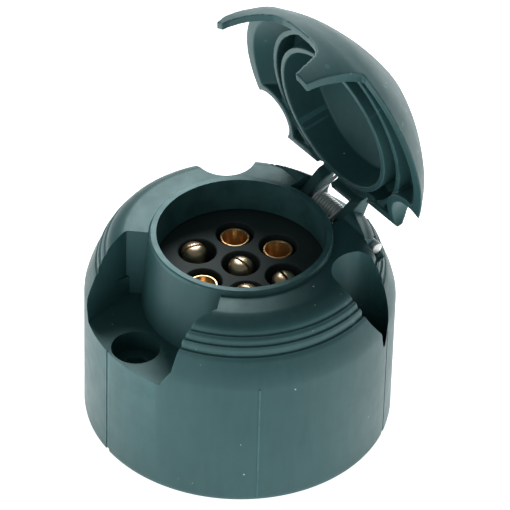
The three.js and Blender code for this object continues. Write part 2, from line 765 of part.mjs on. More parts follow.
// web between the ears, on the bore's side of the coil
function hood() {
  const inner = COLLAR_R + 2 * GAP;
  const outline = [
    [LID_BACK - LID_WALL / 2, SKIRT_Z + 3.2],
    [LID_BACK - LID_WALL / 2, RIM_Z + 2 * GAP],
    [inner, RIM_Z + 2 * GAP],
    [inner, SKIRT_Z - 0.8],
    [inner + 1.4, SKIRT_Z - 0.8],
    [inner + 1.5, SKIRT_Z + 0.2],
    [inner + 0.3, SKIRT_Z + 3.2],
  ];
  return slabAlongX(outline, -HOOD_HALF, EAR_IN + 1);
}

// two ears from the back face down to the hinge pin
function ears() {
  const around = [];
  for (let i = 0; i <= 12; i += 1) {
    const angle = THREE.MathUtils.degToRad(-140 + i * 17);
    around.push([HINGE_Y + EAR_R * Math.cos(angle), HINGE_Z + EAR_R * Math.sin(angle)]);
  }
  const outline = [
    ...around,
    [LID_BACK - 0.2, SKIRT_Z + 3.2],
    [LID_BACK - LID_WALL, SKIRT_Z + 3.2],
    [LID_BACK - LID_WALL, SKIRT_Z + 0.3],
    [LID_BACK - 0.2, SKIRT_Z + 0.3],
  ];
  return [-1, 1].map((side) => {
    const faces = [side * EAR_IN, side * EAR_OUT];
    return slabAlongX(outline, Math.min(...faces), Math.max(...faces));
  });
}

// ---- scene --------------------------------------------------------------------------------

const plastic = { color: 0x35494a, roughness: 0.55, metalness: 0 };
const insertPlastic = { color: 0x2c3d3d, roughness: 0.5, metalness: 0 };
const brass = { color: 0xb58a4a, roughness: 0.32, metalness: 1 };
const steel = { color: 0xd5d8d6, roughness: 0.25, metalness: 1 };

function mesh(name, solid, finish) {
  const piece = new THREE.Mesh(toGeometry(solid), new THREE.MeshStandardMaterial(finish));
  piece.name = name;
  return piece;
}

const socket = new THREE.Group();
socket.add(mesh('housing', housing(), plastic));
socket.add(mesh('contact_carrier', contactCarrier(), insertPlastic));
socket.add(mesh('contact_retainer', contactRetainer(), insertPlastic));

CONTACTS.forEach((contact, index) => {
  const [x, y] = contactPlace(contact);
  const piece = mesh(contact.name, contactSolid(contact), brass);
  piece.position.set(x, y, 0);
  socket.add(piece);
  const screw = mesh(`terminal_screw_${index + 1}`, terminalScrew(), steel);
  screw.position.set(x, y, CLAMP_Z);
  screw.rotation.z = THREE.MathUtils.degToRad(terminalTurn(contact));
  socket.add(screw);
});

RETAINER_SCREW_ANGLES.forEach((angle, index) => {
  const piece = mesh(`retainer_screw_${index + 1}`, retainerScrew(), steel);
  const [x, y] = polar(RETAINER_SCREW_CIRCLE, angle);
  piece.position.set(x, y, 0);
  socket.add(piece);
});

const hinge = new THREE.Group();
hinge.position.set(0, HINGE_Y, HINGE_Z);
hinge.add(mesh('hinge_pin', hingePin(), steel));
hinge.add(mesh('torsion_spring', torsionSpring(), steel));
const swing = new THREE.Group();
swing.rotation.x = THREE.MathUtils.degToRad(-LID_OPEN_DEG);
const cover = mesh('lid', lid(), plastic);
cover.position.set(0, -HINGE_Y, -HINGE_Z);
swing.add(cover);
hinge.add(swing);
socket.add(hinge);

export default socket;
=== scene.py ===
"""Seven-pole trailer socket with a spring-loaded domed cover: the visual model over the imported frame."""

import json
import math

import bpy
from mathutils import Matrix, Vector

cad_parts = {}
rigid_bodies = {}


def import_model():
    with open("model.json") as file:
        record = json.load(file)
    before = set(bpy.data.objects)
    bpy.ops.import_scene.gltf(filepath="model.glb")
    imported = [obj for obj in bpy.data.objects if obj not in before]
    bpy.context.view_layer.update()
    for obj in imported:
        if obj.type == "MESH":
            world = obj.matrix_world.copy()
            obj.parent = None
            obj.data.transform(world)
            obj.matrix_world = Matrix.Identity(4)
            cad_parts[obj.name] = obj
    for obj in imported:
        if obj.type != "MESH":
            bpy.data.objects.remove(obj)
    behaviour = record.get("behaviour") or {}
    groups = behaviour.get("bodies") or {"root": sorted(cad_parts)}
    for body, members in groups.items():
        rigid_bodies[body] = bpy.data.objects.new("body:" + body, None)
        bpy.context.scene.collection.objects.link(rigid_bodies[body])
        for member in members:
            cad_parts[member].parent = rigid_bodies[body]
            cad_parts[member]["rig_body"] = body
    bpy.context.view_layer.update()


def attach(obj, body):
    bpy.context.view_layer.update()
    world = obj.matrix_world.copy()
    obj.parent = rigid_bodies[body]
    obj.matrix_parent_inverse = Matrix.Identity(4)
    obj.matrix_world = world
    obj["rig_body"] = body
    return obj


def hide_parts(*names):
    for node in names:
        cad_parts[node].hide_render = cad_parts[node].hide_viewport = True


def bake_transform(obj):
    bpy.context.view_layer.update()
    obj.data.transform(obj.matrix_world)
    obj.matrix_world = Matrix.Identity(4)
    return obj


bl_info = {
    "name": "Seven-pole trailer socket",
    "version": (1, 0, 0),
    "blender": (4, 5, 0),
    "location": "View3D > Sidebar > Trailer Socket",
    "description": "Builds a round trailer socket with a hinged cover, piece by piece",
    "category": "Object",
}

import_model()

MM = 0.001
FULL_TURN = 2 * math.pi
WIDE = 70.0  # further out than any part of the socket, in millimetres
HINGE_AXIS = (23.65, 41.4)  # hinge axis behind the bore axis and above the mounting face, in millimetres
PIN_HOLE = 1.6  # radius of the hinge pin's hole, in millimetres
EAR_RADIUS = 2.9  # of the cover's two ears, in millimetres
VISOR_LOW = 28.9  # lower end of the cover's longer visor leg, in millimetres
CAMERA_DISTANCE = 0.9776  # from the point it looks at, in metres


# ---- sizes and colours --------------------------------------------------------------------


def length(name, description, default):
    """A length property in metres, with its default given in millimetres."""
    return bpy.props.FloatProperty(
        name=name, description=description, default=default * MM, min=0.0, unit="LENGTH", precision=5
    )


def colour(name, description, default):
    return bpy.props.FloatVectorProperty(
        name=name, description=description, default=default, size=3, min=0.0, max=1.0, subtype="COLOR"
    )


class SocketHousingSizes(bpy.types.PropertyGroup):
    drum_radius: length("Drum radius", "Outside radius of the drum", 33.2)
    drum_top: length("Drum top", "Height where the drum starts to curve in", 30.4)
    deck_height: length("Deck height", "Height of the flat deck round the collar", 44.9)
    rim_height: length("Rim height", "Top of the collar", 46.0)
    collar_radius: length("Collar radius", "Outside radius of the collar", 19.4)
    bore_radius: length("Bore radius", "Radius of the plug bore", 18.0)
    wall: length("Wall", "Thickness of the moulded wall", 2.6)
    screw_circle: length("Screw circle", "Radius of the circle of mounting screws", 27.5)
    recess_half: length("Recess half width", "Half the width of the front recess", 14.7)
    recess_floor: length("Recess floor", "Height of the front recess's floor", 28.0)


class SocketContactSizes(bpy.types.PropertyGroup):
    circle: length("Contact circle", "Radius of the circle of outer contacts", 10.0)
    hole_radius: length("Contact hole", "Radius of the well round each contact", 4.075)
    pin_radius: length("Pin radius", "Radius of the split pins", 2.65)
    sleeve_radius: length("Sleeve radius", "Outside radius of the sleeves", 3.25)
    sleeve_bore: length("Sleeve bore", "Inside radius of the sleeves", 2.6)
    insert_face: length("Insert face", "Height of the insert's upper face", 37.7)


class SocketCoverSizes(bpy.types.PropertyGroup):
    hinge_y: length("Hinge depth", "Hinge axis, behind the bore axis", 23.65)
    hinge_z: length("Hinge height", "Hinge axis, above the mounting face", 41.4)
    open_angle: bpy.props.FloatProperty(
        name="Opening", description="How far the cover stands open", default=math.radians(80), subtype="ANGLE"
    )
    wall: length("Cover wall", "Thickness of the domed cover", 1.8)
    skirt: length("Skirt height", "Lower edge of the closed cover's skirt", 45.4)
    back: length("Flat back", "Distance of the flat back face behind the bore axis", 18.4)


class SocketFinishes(bpy.types.PropertyGroup):
    plastic: colour("Plastic", "Grey-green moulded plastic", (0.031, 0.090, 0.094))
    insert: colour("Insert plastic", "Plastic of the contact insert", (0.020, 0.038, 0.038))
    dust: colour("Dust", "Specks and rubbed edges", (0.62, 0.70, 0.68))
    pin_brass: colour("Pin brass", "Pale turned brass", (0.88, 0.80, 0.62))
    sleeve_brass: colour("Sleeve brass", "Turned brass rims", (0.86, 0.70, 0.50))
    copper: colour("Sleeve bore", "Copper-coloured bores", (0.62, 0.25, 0.08))
    steel: colour("Steel", "Bright plated steel", (0.95, 0.96, 0.95))
    floor: colour("Floor", "Pale floor", (0.93, 0.94, 0.94))


# ---- modelling helpers: places and sizes in millimetres -------------------------------------


def deselect():
    if bpy.context.mode != "OBJECT":
        bpy.ops.object.mode_set(mode="OBJECT")
    bpy.ops.object.select_all(action="DESELECT")


def pick(piece):
    """Makes piece the only selected object, and active."""
    deselect()
    piece.select_set(True)
    bpy.context.view_layer.objects.active = piece


def edit(piece, select="SELECT"):
    pick(piece)
    bpy.ops.object.mode_set(mode="EDIT")
    bpy.ops.mesh.select_mode(type="VERT")
    bpy.ops.mesh.select_all(action=select)


def done():
    bpy.ops.object.mode_set(mode="OBJECT")


def settle(piece):
    """Moves the object's place, turn and scale into its mesh."""
    pick(piece)
    bpy.ops.object.transform_apply(location=True, rotation=True, scale=True)
    return piece


def name_it(name):
    piece = bpy.context.object
    piece.name = name
    piece.data.name = name
    return piece


def line(name, points):
    """A chain of vertices, extruded from the first point to the last."""
    points = [Vector(p) * MM for p in points]
    deselect()
    bpy.ops.mesh.primitive_plane_add(size=MM, location=points[0])
    piece = settle(name_it(name))
    edit(piece)
    bpy.ops.mesh.merge(type="CENTER")
    for here, there in zip(points, points[1:]):
        bpy.ops.mesh.extrude_region_move(TRANSFORM_OT_translate={"value": there - here})
    done()
    return piece


def clean(piece, merge=0.002):
    """Merges doubles and turns all faces outwards."""
    edit(piece)
    bpy.ops.mesh.remove_doubles(threshold=merge * MM)
    bpy.ops.mesh.normals_make_consistent(inside=False)
    done()
    return piece


def lathe(name, profile, steps=96, centre=(0, 0)):
    """Spins a profile of radius and height round the vertical axis. It closes on the axis or on itself."""
    piece = line(name, [(r, 0, z) for r, z in profile])
    edit(piece)
    bpy.ops.mesh.spin(steps=steps, angle=FULL_TURN, center=(0, 0, 0), axis=(0, 0, 1))
    done()
    clean(piece)
    piece.location = (centre[0] * MM, centre[1] * MM, 0)
    return settle(piece)


def ring(name, outer, inner, low, high, steps=128):
    return lathe(name, [(inner, low), (outer, low), (outer, high), (inner, high), (inner, low)], steps)


def prism(name, outline, low, high, along="Z"):
    """Fills an outline and pulls it from low to high along an axis. The outline is in the other two axes."""
    place = {
        "Z": lambda a, b, c: (a, b, c),
        "Y": lambda a, b, c: (a, c, b),
        "X": lambda a, b, c: (c, a, b),
    }[along]
    piece = line(name, [place(a, b, low) for a, b in outline])
    edit(piece)
    bpy.ops.mesh.edge_face_add()
    pull = Vector(place(0, 0, high - low)) * MM
    bpy.ops.mesh.extrude_region_move(TRANSFORM_OT_translate={"value": pull})
    done()
    return clean(piece)


def block(name, low, high):
    low, high = Vector(low), Vector(high)
    deselect()
    bpy.ops.mesh.primitive_cube_add(size=1, location=(low + high) / 2 * MM, scale=(high - low) * MM)
    return settle(name_it(name))


def rod(name, radius, low, high, at=(0, 0), along="Z", sides=48, top_radius=None):
    """A cylinder or cone along Z or X. at gives its place in the other two axes."""
    deselect()
    middle = (low + high) / 2
    place = (at[0], at[1], middle) if along == "Z" else (middle, at[0], at[1])
    turn = (0, 0, 0) if along == "Z" else (0, math.pi / 2, 0)
    bpy.ops.mesh.primitive_cone_add(
        vertices=sides,
        radius1=radius * MM,
        radius2=(radius if top_radius is None else top_radius) * MM,
        depth=(high - low) * MM,
        location=Vector(place) * MM,
        rotation=turn,
    )
    return settle(name_it(name))


def wrapped(name, points):
    """The convex solid round some points."""
    piece = line(name, points)
    edit(piece)
    bpy.ops.mesh.convex_hull()
    done()
    return clean(piece)


def apply(piece, kind, **settings):
    """Adds a modifier with these settings and applies it."""
    pick(piece)
    modifier = piece.modifiers.new(kind.title(), kind)
    for key, value in settings.items():
        setattr(modifier, key, value)
    bpy.ops.object.modifier_apply(modifier=modifier.name)
    return piece


def combine(piece, operation, tools):
    for tool in tools:
        apply(piece, "BOOLEAN", operation=operation, solver="MANIFOLD", object=tool)
        bpy.data.objects.remove(tool)
    return piece


def cut(piece, *tools):
    return combine(piece, "DIFFERENCE", tools)


def add(piece, *tools):
    return combine(piece, "UNION", tools)


def keep(piece, *tools):
    return combine(piece, "INTERSECT", tools)


def copy(piece, name):
    """A copy with its own mesh."""
    twin = piece.copy()
    twin.data = piece.data.copy()
    twin.name = name
    twin.data.name = name
    bpy.context.scene.collection.objects.link(twin)
    return twin


def placed(piece, x=0.0, y=0.0, z=0.0, turn=0.0):
    piece.location = Vector((x, y, z)) * MM
    piece.rotation_euler = (0, 0, math.radians(turn))
    return settle(piece)


def polar(radius, degrees):
    angle = math.radians(degrees)
    return radius * math.cos(angle), radius * math.sin(angle)


def round_edges(piece, width, sharper=32, segments=2):
    """Bevels each edge that turns by more than an angle."""
    pick(piece)
    return apply(
        piece,
        "BEVEL",
        width=width * MM,
        segments=segments,
        limit_method="ANGLE",
        angle_limit=math.radians(sharper),
        use_clamp_overlap=True,
        miter_outer="MITER_ARC",
    )


def melt(piece, voxel, passes, share):
    """Fuses a piece into one skin with soft edges, then thins its triangles."""
    apply(piece, "REMESH", mode="VOXEL", voxel_size=voxel * MM)
    apply(piece, "SMOOTH", factor=0.5, iterations=passes)
    if share < 1:
        apply(piece, "DECIMATE", ratio=share)
    return piece


def smooth(piece, angle=35):
    pick(piece)
    bpy.ops.object.shade_smooth_by_angle(angle=math.radians(angle))
    return piece


def finish(piece, material, slot, body, *nodes):
    """Gives a piece its finish, body and the CAD nodes that it stands for."""
    piece.data.materials.clear()
    piece.data.materials.append(material)
    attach(piece, body)
    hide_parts(*nodes)
    return piece


# ---- finishes -------------------------------------------------------------------------------


def new_group(name, inputs, outputs):
    """A shader node group with named sockets. Returns the group and its input and output nodes."""
    group = bpy.data.node_groups.new(name, "ShaderNodeTree")
    for label, kind, value in inputs:
        socket = group.interface.new_socket(name=label, in_out="INPUT", socket_type=kind)
        if value is not None:
            socket.default_value = value
    for label, kind in outputs:
        group.interface.new_socket(name=label, in_out="OUTPUT", socket_type=kind)
    return group, group.nodes.new("NodeGroupInput"), group.nodes.new("NodeGroupOutput")


def math_node(tree, operation, a, b=None, c=None, clamp=False):
    node = tree.nodes.new("ShaderNodeMath")
    node.operation = operation
    node.use_clamp = clamp
    for socket, value in zip(node.inputs, (a, b, c)):
        if value is None:
            continue
        if isinstance(value, bpy.types.NodeSocket):
            tree.links.new(value, socket)
        else:
            socket.default_value = value
    return node.outputs[0]


def scale_node(tree, start, low, high, to_low=0.0, to_high=1.0):
    """Maps start from low..high to to_low..to_high, clamped and eased."""
    node = tree.nodes.new("ShaderNodeMapRange")
    node.interpolation_type = "SMOOTHSTEP"
    tree.links.new(start, node.inputs["Value"])
    for label, value in (("From Min", low), ("From Max", high), ("To Min", to_low), ("To Max", to_high)):
        if isinstance(value, bpy.types.NodeSocket):
            tree.links.new(value, node.inputs[label])
        else:
            node.inputs[label].default_value = value
    return node.outputs["Result"]


def place_node(tree, stretch=(1, 1, 1)):
    """Object coordinates, stretched."""
    where = tree.nodes.new("ShaderNodeTexCoord").outputs["Object"]
    if stretch == (1, 1, 1):
        return where
    mapping = tree.nodes.new("ShaderNodeMapping")
    mapping.inputs["Scale"].default_value = stretch
    tree.links.new(where, mapping.inputs["Vector"])
    return mapping.outputs["Vector"]


def noise_node(tree, where, scale, detail=2.0, roughness=0.5):
    node = tree.nodes.new("ShaderNodeTexNoise")
    tree.links.new(where, node.inputs["Vector"])
    if isinstance(scale, bpy.types.NodeSocket):
        tree.links.new(scale, node.inputs["Scale"])
    else:
        node.inputs["Scale"].default_value = scale
    node.inputs["Detail"].default_value = detail
    node.inputs["Roughness"].default_value = roughness
    return node.outputs["Fac"]


def mix_node(tree, share, first, second):
    node = tree.nodes.new("ShaderNodeMix")
    node.data_type = "RGBA"
    tree.links.new(share, node.inputs[0])
    for socket, value in ((node.inputs[6], first), (node.inputs[7], second)):
        if isinstance(value, bpy.types.NodeSocket):
            tree.links.new(value, socket)
        else:
            socket.default_value = (*value, 1)
    return node.outputs[2]


def grain_group():
    """Fine pitted grain of moulded plastic, with the slow waves of shrinkage under it."""
    group, start, end = new_group(
        "moulding_grain",
        [("Grain Scale", "NodeSocketFloat", 2600.0), ("Waves", "NodeSocketFloat", 0.3)],
        [("Height", "NodeSocketFloat")],
    )
    where = place_node(group)
    fine = noise_node(group, where, start.outputs["Grain Scale"], 3.0, 0.6)
    slow = noise_node(group, where, 130.0, 1.0)
    waves = math_node(group, "MULTIPLY", slow, start.outputs["Waves"])
    group.links.new(math_node(group, "ADD", fine, waves), end.inputs["Height"])
    return group


def dust_group():
    """Small bright specks of dust, some in each few millimetres, and faint rubbed patches."""
    group, start, end = new_group(
        "dust_specks",
        [
            ("Specks Per Metre", "NodeSocketFloat", 420.0),
            ("Speck Size", "NodeSocketFloat", 0.085),
            ("Share", "NodeSocketFloat", 0.2),
        ],
        [("Mask", "NodeSocketFloat")],
    )
    where = place_node(group)
    cells = group.nodes.new("ShaderNodeTexVoronoi")
    group.links.new(where, cells.inputs["Vector"])
    group.links.new(start.outputs["Specks Per Metre"], cells.inputs["Scale"])
    chance = group.nodes.new("ShaderNodeSeparateColor")
    group.links.new(cells.outputs["Color"], chance.inputs["Color"])
    height = group.nodes.new("ShaderNodeSeparateXYZ")
    group.links.new(where, height.inputs["Vector"])
    foot = scale_node(group, height.outputs["Z"], 0.0, 0.014, 0.35, 0.0)
    share = math_node(group, "ADD", start.outputs["Share"], foot)
    there = math_node(group, "LESS_THAN", chance.outputs["Red"], share)
    size = math_node(group, "MULTIPLY", start.outputs["Speck Size"], chance.outputs["Green"])
    speck = math_node(group, "LESS_THAN", cells.outputs["Distance"], size)
    patches = noise_node(group, where, 60.0, 2.0)
    crowd = scale_node(group, patches, 0.42, 0.62)
    found = math_node(group, "MULTIPLY", speck, there)
    group.links.new(math_node(group, "MULTIPLY", found, crowd), end.inputs["Mask"])
    return group


def rub_group():
    """Edges that the mould and handling have rubbed lighter."""
    group, start, end = new_group(
        "rubbed_edges",
        [("Low", "NodeSocketFloat", 0.52), ("High", "NodeSocketFloat", 0.60)],
        [("Mask", "NodeSocketFloat")],
    )
    shape = group.nodes.new("ShaderNodeNewGeometry").outputs["Pointiness"]
    edge = scale_node(group, shape, start.outputs["Low"], start.outputs["High"])
    patches = noise_node(group, place_node(group), 240.0, 3.0)
    broken = scale_node(group, patches, 0.30, 0.62, 0.35, 1.0)
    group.links.new(math_node(group, "MULTIPLY", edge, broken), end.inputs["Mask"])
    return group


def haze_group():
    """Slow uneven haze that lightens and dulls a surface."""
    group, start, end = new_group(
        "surface_haze",
        [("Scale", "NodeSocketFloat", 45.0), ("Amount", "NodeSocketFloat", 0.5)],
        [("Mask", "NodeSocketFloat")],
    )
    where = place_node(group)
    cloud = noise_node(group, where, start.outputs["Scale"], 4.0, 0.55)
    streaks = noise_node(group, place_node(group, (1, 1, 0.16)), 620.0, 2.0)
    both = math_node(group, "MULTIPLY_ADD", streaks, 0.35, cloud)
    group.links.new(
        math_node(group, "MULTIPLY", scale_node(group, both, 0.45, 0.95), start.outputs["Amount"]),
        end.inputs["Mask"],
    )
    return group


def use_group(tree, name, **values):
    node = tree.nodes.new("ShaderNodeGroup")
    node.node_tree = bpy.data.node_groups[name]
    for label, value in values.items():
        node.inputs[label.replace("_", " ")].default_value = value
    return node.outputs[0]


def new_material(name):
    material = bpy.data.materials.new(name)
    material.use_nodes = True
    shader = material.node_tree.nodes["Principled BSDF"]
    return material, material.node_tree, shader


def bump(tree, shader, height, strength, distance):
    node = tree.nodes.new("ShaderNodeBump")
    node.inputs["Strength"].default_value = strength
    node.inputs["Distance"].default_value = distance * MM
    tree.links.new(height, node.inputs["Height"])
    tree.links.new(node.outputs["Normal"], shader.inputs["Normal"])


def moulded_plastic(name, base, dust, rough=0.46, rub=0.45, haze=0.5, share=0.34):
    """Dull moulded plastic with grain, haze, rubbed edges and dust."""
    material, tree, shader = new_material(name)
    lighter = tuple(c * 1.55 + 0.006 for c in base)
    rubbed = tuple(c * 2.9 + 0.02 for c in base)
    clouded = mix_node(tree, use_group(tree, "surface_haze", Amount=haze), base, lighter)
    edges = math_node(tree, "MULTIPLY", use_group(tree, "rubbed_edges"), rub)
    worn = mix_node(tree, edges, clouded, rubbed)
    specks = use_group(tree, "dust_specks", Share=share)
    tree.links.new(mix_node(tree, specks, worn, dust), shader.inputs["Base Color"])
    uneven = noise_node(tree, place_node(tree), 300.0, 3.0)
    dulled = math_node(tree, "MULTIPLY_ADD", uneven, 0.18, rough - 0.09)
    tree.links.new(math_node(tree, "MAXIMUM", dulled, specks), shader.inputs["Roughness"])
    shader.inputs["Specular IOR Level"].default_value = 0.6
    shader.inputs["Specular Tint"].default_value = (0.62, 0.95, 0.96, 1)
    bump(tree, shader, use_group(tree, "moulding_grain"), 0.35, 0.05)
    return material


def turned_metal(name, base, rough, tarnish, bore=None, metallic=1.0):
    """Turned metal with fine rings and a little tarnish. bore recolours what the bore attribute marks."""
    material, tree, shader = new_material(name)
    where = place_node(tree)
    cloud = scale_node(tree, noise_node(tree, where, 420.0, 4.0), 0.35, 0.75)
    surface = mix_node(tree, cloud, base, tarnish)
    if bore:
        marked = tree.nodes.new("ShaderNodeAttribute")
        marked.attribute_name = "bore"
        surface = mix_node(tree, marked.outputs["Fac"], surface, bore)
    tree.links.new(surface, shader.inputs["Base Color"])
    shader.inputs["Metallic"].default_value = metallic
    rings = noise_node(tree, place_node(tree, (0.12, 0.12, 1)), 5200.0, 2.0)
    tree.links.new(math_node(tree, "MULTIPLY_ADD", cloud, 0.16, rough), shader.inputs["Roughness"])
    bump(tree, shader, rings, 0.25, 0.02)
    return material


def floor_finish(base):
    material, tree, shader = new_material("studio_floor")
    tint = noise_node(tree, place_node(tree), 3.0, 2.0)
    paler = tuple(min(1.0, c * 1.02) for c in base)
    tree.links.new(mix_node(tree, tint, base, paler), shader.inputs["Base Color"])
    shader.inputs["Roughness"].default_value = 0.9
    shader.inputs["Emission Color"].default_value = (1, 1, 1, 1)
    shader.inputs["Emission Strength"].default_value = 1.0
    return material


class SOCKET_OT_finishes(bpy.types.Operator):
    """Makes the node groups and the materials of the plastic and metal pieces"""

    bl_idname = "socket.finishes"
    bl_label = "Finishes"

    def execute(self, context):
        tint = context.scene.socket_finishes
        for make in (grain_group, dust_group, rub_group, haze_group):
            make()
        dust = tuple(tint.dust)
        moulded_plastic("housing_plastic", tuple(tint.plastic), dust)
        moulded_plastic("insert_plastic", tuple(tint.insert), dust, rough=0.42, share=0.12)
        steel = tuple(tint.steel)
        turned_metal("pin_brass", tuple(tint.pin_brass), 0.34, (0.72, 0.60, 0.40), metallic=0.7)
        turned_metal("sleeve_brass", tuple(tint.sleeve_brass), 0.24, (0.66, 0.42, 0.22), tuple(tint.copper))
        turned_metal("plated_steel", steel, 0.30, (0.80, 0.81, 0.80), metallic=0.45)
        return {"FINISHED"}


# ---- housing --------------------------------------------------------------------------------


def shoulder_profile(radius, drum_top, deck):
    """Outside of the drum and its stepped shoulder, from the foot to the deck."""
    points = [
        (radius - 0.55, 0),
        (radius - 0.28, 0.10),
        (radius - 0.14, 0.35),
        (radius, 1.2),
        (radius, drum_top),
        (radius - 0.08, drum_top + 0.9),
        (radius - 0.35, drum_top + 2.0),
        (radius - 0.72, drum_top + 3.3),
        (radius - 1.2, drum_top + 4.6),
        (radius - 1.75, drum_top + 6.0),
        (radius - 2.12, drum_top + 6.9),
    ]
    points += [
        *shoulder_line(radius - 2.25, 37.7),
        (radius - 2.80, 38.4),
        (radius - 2.78, 38.9),
        (radius - 2.86, 39.4),
        *shoulder_line(radius - 3.0, 39.9),
        (radius - 3.60, 40.45),
        (radius - 3.68, 40.9),
        (radius - 3.86, 41.35),
        *shoulder_line(radius - 4.1, 41.8),
        (radius - 4.72, 42.3),
        (radius - 4.88, 42.7),
        (radius - 5.18, 43.15),
        (radius - 5.66, 43.6),
        (radius - 6.36, 44.1),
        (radius - 7.20, 44.52),
        (radius - 8.0, deck - 0.07),
        (radius - 8.6, deck),
    ]
    return points


def shoulder_line(edge, height):
    """One raised line of the shoulder: a crisp ledge with a groove over it."""
    return [
        (edge, height - 0.25),
        (edge - 0.06, height - 0.08),
        (edge - 0.18, height),
        (edge - 0.44, height + 0.05),
        (edge - 0.54, height + 0.17),
    ]


def screw_places(size):
    circle = size.screw_circle / MM
    return [polar(circle, angle) for angle in (270, 30, 150)]


def recess_half(size, widen=0.0):
    """Right half of the front recess in plan, from the collar outwards."""
    half = size.recess_half / MM
    return [
        (11.6 + widen, -13.8),
        (15.9 + widen, -18.4),
        (half + 0.35 + widen, -22.8),
        (half + widen, -27.6),
        (half + 0.2 + widen, -30.2),
        (half + 0.6 + widen, -37.2),
    ]


def both_halves(half):
    return half + [(-x, y) for x, y in reversed(half)]


def barrel_outside(size):
    collar = size.collar_radius / MM
    return lathe(
        "barrel_outside",
        [
            (0, 19),
            (21, 19),
            (21, 28),
            (collar + 0.22, 44.5),
            (collar + 0.06, 45.2),
            (collar + 0.06, 49),
            (0, 49),
        ],
        216,
    )


def recess_fillets(rise=0.0):
    """Sloped facets at the foot of the front recess's side walls."""
    tools = []
    for side in (-1, 1):
        tools.append(
            wrapped(
                "recess_fillet",
                [
                    (side * (15.4 - rise), -17.9, 32.5 + rise),
                    (side * (14.85 - rise), -33.4, 34.6 + rise),
                    (side * 16.5, -17.9, 32.5 + rise),
                    (side * 16.5, -33.4, 34.6 + rise),
                    (side * (15.4 - rise), -17.9, 27.8),
                    (side * (11.9 - rise), -33.4, 27.8),
                    (side * 16.5, -17.9, 27.8),
                    (side * 16.5, -33.4, 27.8),
                ],
            )
        )
    return tools


def barrel_core():
    """Keeps the linings out of the barrel."""
    return lathe("barrel_core", [(0, -1), (20, -1), (20, 38.7), (18.7, 38.7), (18.7, 47), (0, 47)], 216)


def hinge_knuckles(near, far):
    spans = [sorted((side * near, side * far)) for side in (-1, 1)]
    return [rod("knuckle", 4.3, low, high, HINGE_AXIS, "X", 48) for low, high in spans]


def pin_notches(near):
    """Notches beside the knuckles, where the ends of the hinge pin show."""
    half = [(15.5, 47), (15.5, 41.8), (17.6, 39.3), (20.5, 41.5), (21, 47)]
    return [prism("pin_notch", [(side * x, z) for x, z in half], near, 34.2, "Y") for side in (-1, 1)]


def drum_hollow(size):
    """The space under the deck, round the barrel and its linings."""
    inner = (size.drum_radius - size.wall) / MM
    under = (size.deck_height - size.wall) / MM
    bore = size.bore_radius / MM
    hollow = lathe(
        "hollow",
        [
            (0, -1),
            (inner, -1),
            (inner, 29.4),
            (inner - 1.9, 35.4),
            (inner - 4, 39.6),
            (inner - 6.4, under),
            (21.4, under),
            (21, 20),
            (bore + 1, 20),
            (bore + 1, 38),
            (bore, 38),
            (bore, 47),
            (0, 47),
        ],
        216,
    )
    half = recess_half(size, 2.4)
    half[:2] = [(10, -12), (18.6, -17.2)]
    linings = prism("linings", both_halves(half), 25.6, 43.6)
    tools = [block("hinge_lining", (-18.3, 20, 34.8), (18.3, 27.35, 41.4))]
    for index, place in enumerate(screw_places(size)):
        tools.append(rod("tube", 4.9, -2, 23, place, sides=40))
        tools.append(rod("seat_wall", 6.9, 20.4, 28, place, sides=40))
        if index:
            tools.append(rod("scoop_wall", 6.9, 23, 43.9, place, sides=40, top_radius=8.6))
    for angle in (90, 210, 330):
        tools.append(rod("boss", 3.2, 20, 42.9, polar(23.6, angle), sides=40))
    add(linings, *tools, *hinge_knuckles(7.7, 16.8))
    cut(linings, barrel_core())
    return cut(hollow, linings)


def scoop_tool(place):
    """Tapered flute over a side screw."""
    x, y = place
    tool = lathe("scoop", [(0, 23), (4.9, 23), (5.7, 26), (6.6, 47), (0, 47)], 64)
    return placed(tool, x, y)


